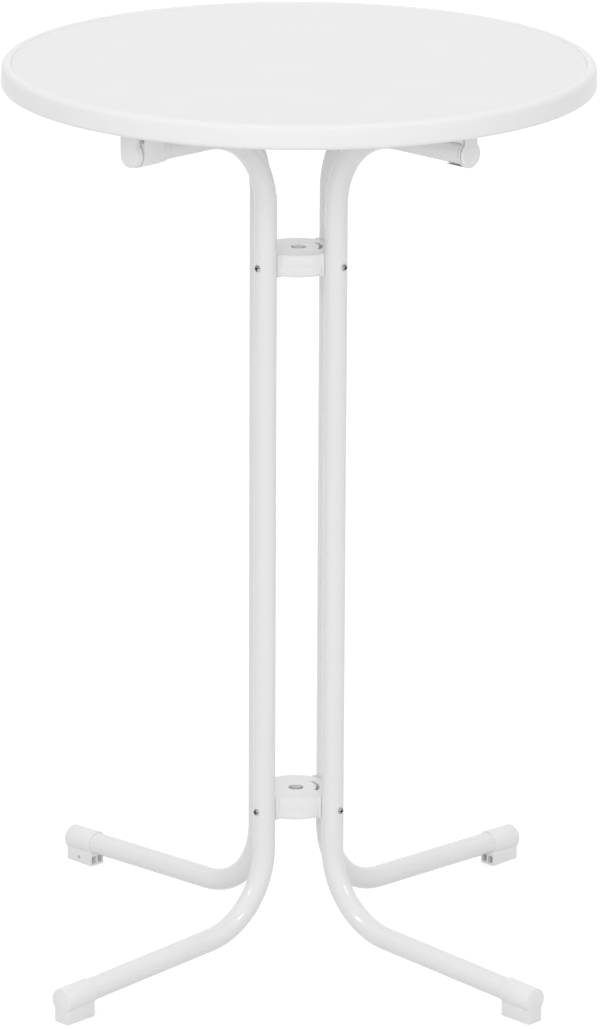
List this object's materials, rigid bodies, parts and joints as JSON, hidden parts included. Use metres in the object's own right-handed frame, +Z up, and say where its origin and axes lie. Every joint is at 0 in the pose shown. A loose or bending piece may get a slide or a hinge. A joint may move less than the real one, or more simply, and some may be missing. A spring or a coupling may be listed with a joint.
{
  "type": "folding standing table",
  "caption": "Folding standing table: a round rimmed top on two crossed frames of bent tube that swing together about round hubs.",
  "frame": {"origin": "centre of the footprint, on the floor", "axes": "+Z up, -Y towards the viewer of the picture, +X to the right"},
  "size_m": [0.7, 0.7, 1.1],
  "materials": {
    "tabletop_board": "satin white laminate",
    "edge_rim": "smooth white plastic",
    "leg_tube_front_left": "white powder coat",
    "arm_plug_front_left": "moulded white plastic",
    "foot_front_left": "moulded white plastic",
    "upper_hub_screw_front_left": "bright zinc plate",
    "lower_hub_screw_front_left": "bright zinc plate",
    "bearing_block_front_left": "moulded white plastic",
    "end_cover_front_left": "moulded white plastic",
    "bracket_screw_front_left_1": "bright zinc plate",
    "bracket_screw_front_left_2": "bright zinc plate",
    "leg_tube_rear_right": "white powder coat",
    "arm_plug_rear_right": "moulded white plastic",
    "foot_rear_right": "moulded white plastic",
    "upper_hub_screw_rear_right": "bright zinc plate",
    "lower_hub_screw_rear_right": "bright zinc plate",
    "bearing_block_rear_right": "moulded white plastic",
    "end_cover_rear_right": "moulded white plastic",
    "bracket_screw_rear_right_1": "bright zinc plate",
    "bracket_screw_rear_right_2": "bright zinc plate",
    "leg_tube_front_right": "white powder coat",
    "arm_plug_front_right": "moulded white plastic",
    "foot_front_right": "moulded white plastic",
    "upper_hub_screw_front_right": "bright zinc plate",
    "lower_hub_screw_front_right": "bright zinc plate",
    "arm_hook_front_right": "moulded white plastic",
    "bracket_screw_front_right_1": "bright zinc plate",
    "bracket_screw_front_right_2": "bright zinc plate",
    "leg_tube_rear_left": "white powder coat",
    "arm_plug_rear_left": "moulded white plastic",
    "levelling_foot_rear_left": "moulded white plastic",
    "upper_hub_screw_rear_left": "bright zinc plate",
    "lower_hub_screw_rear_left": "bright zinc plate",
    "arm_hook_rear_left": "moulded white plastic",
    "bracket_screw_rear_left_1": "bright zinc plate",
    "bracket_screw_rear_left_2": "bright zinc plate",
    "levelling_cam": "moulded white plastic",
    "cam_pin": "bright zinc plate",
    "upper_hub_fixed_half": "moulded white plastic",
    "upper_hub_swing_half": "moulded white plastic",
    "upper_pivot_bolt": "bright zinc plate",
    "upper_top_washer": "bright zinc plate",
    "upper_bottom_washer": "bright zinc plate",
    "upper_pivot_nut": "bright zinc plate",
    "upper_stop_pin": "bright zinc plate",
    "lower_hub_fixed_half": "moulded white plastic",
    "lower_hub_swing_half": "moulded white plastic",
    "lower_pivot_bolt": "bright zinc plate",
    "lower_top_washer": "bright zinc plate",
    "lower_bottom_washer": "bright zinc plate",
    "lower_pivot_nut": "bright zinc plate",
    "lower_stop_pin": "bright zinc plate"
  },
  "bodies": {
    "fixed_frame": {"tabletop_board": "tabletop_board", "edge_rim": "edge_rim", "leg_tube_front_left": "leg_tube_front_left", "arm_plug_front_left": "arm_plug_front_left", "foot_front_left": "foot_front_left", "upper_hub_screw_front_left": "upper_hub_screw_front_left", "lower_hub_screw_front_left": "lower_hub_screw_front_left", "bearing_block_front_left": "bearing_block_front_left", "end_cover_front_left": "end_cover_front_left", "bracket_screw_front_left_1": "bracket_screw_front_left_1", "bracket_screw_front_left_2": "bracket_screw_front_left_2", "leg_tube_rear_right": "leg_tube_rear_right", "arm_plug_rear_right": "arm_plug_rear_right", "foot_rear_right": "foot_rear_right", "upper_hub_screw_rear_right": "upper_hub_screw_rear_right", "lower_hub_screw_rear_right": "lower_hub_screw_rear_right", "bearing_block_rear_right": "bearing_block_rear_right", "end_cover_rear_right": "end_cover_rear_right", "bracket_screw_rear_right_1": "bracket_screw_rear_right_1", "bracket_screw_rear_right_2": "bracket_screw_rear_right_2", "arm_hook_front_right": "arm_hook_front_right", "bracket_screw_front_right_1": "bracket_screw_front_right_1", "bracket_screw_front_right_2": "bracket_screw_front_right_2", "arm_hook_rear_left": "arm_hook_rear_left", "bracket_screw_rear_left_1": "bracket_screw_rear_left_1", "bracket_screw_rear_left_2": "bracket_screw_rear_left_2", "upper_hub_fixed_half": "upper_hub_fixed_half", "upper_pivot_bolt": "upper_pivot_bolt", "upper_top_washer": "upper_top_washer", "upper_bottom_washer": "upper_bottom_washer", "upper_pivot_nut": "upper_pivot_nut", "upper_stop_pin": "upper_stop_pin", "lower_hub_fixed_half": "lower_hub_fixed_half", "lower_pivot_bolt": "lower_pivot_bolt", "lower_top_washer": "lower_top_washer", "lower_bottom_washer": "lower_bottom_washer", "lower_pivot_nut": "lower_pivot_nut", "lower_stop_pin": "lower_stop_pin"},
    "swing_frame": {"leg_tube_front_right": "leg_tube_front_right", "arm_plug_front_right": "arm_plug_front_right", "foot_front_right": "foot_front_right", "upper_hub_screw_front_right": "upper_hub_screw_front_right", "lower_hub_screw_front_right": "lower_hub_screw_front_right", "leg_tube_rear_left": "leg_tube_rear_left", "arm_plug_rear_left": "arm_plug_rear_left", "levelling_foot_rear_left": "levelling_foot_rear_left", "upper_hub_screw_rear_left": "upper_hub_screw_rear_left", "lower_hub_screw_rear_left": "lower_hub_screw_rear_left", "cam_pin": "cam_pin", "upper_hub_swing_half": "upper_hub_swing_half", "lower_hub_swing_half": "lower_hub_swing_half"},
    "levelling_cam": {"levelling_cam": "levelling_cam"}
  },
  "joints": [
    {"name": "frame_fold", "type": "hinge", "parent": "fixed_frame", "child": "swing_frame", "pos_m": [0, 0, 0.861], "axis": [0, 0, 1], "range_deg": [-62, 0]},
    {"name": "cam_turn", "type": "hinge", "parent": "swing_frame", "child": "levelling_cam", "pos_m": [-0.2675, 0.26142, 0.0074], "axis": [-0.7071, -0.7071, 0], "range_deg": [0, 90]}
  ]
}
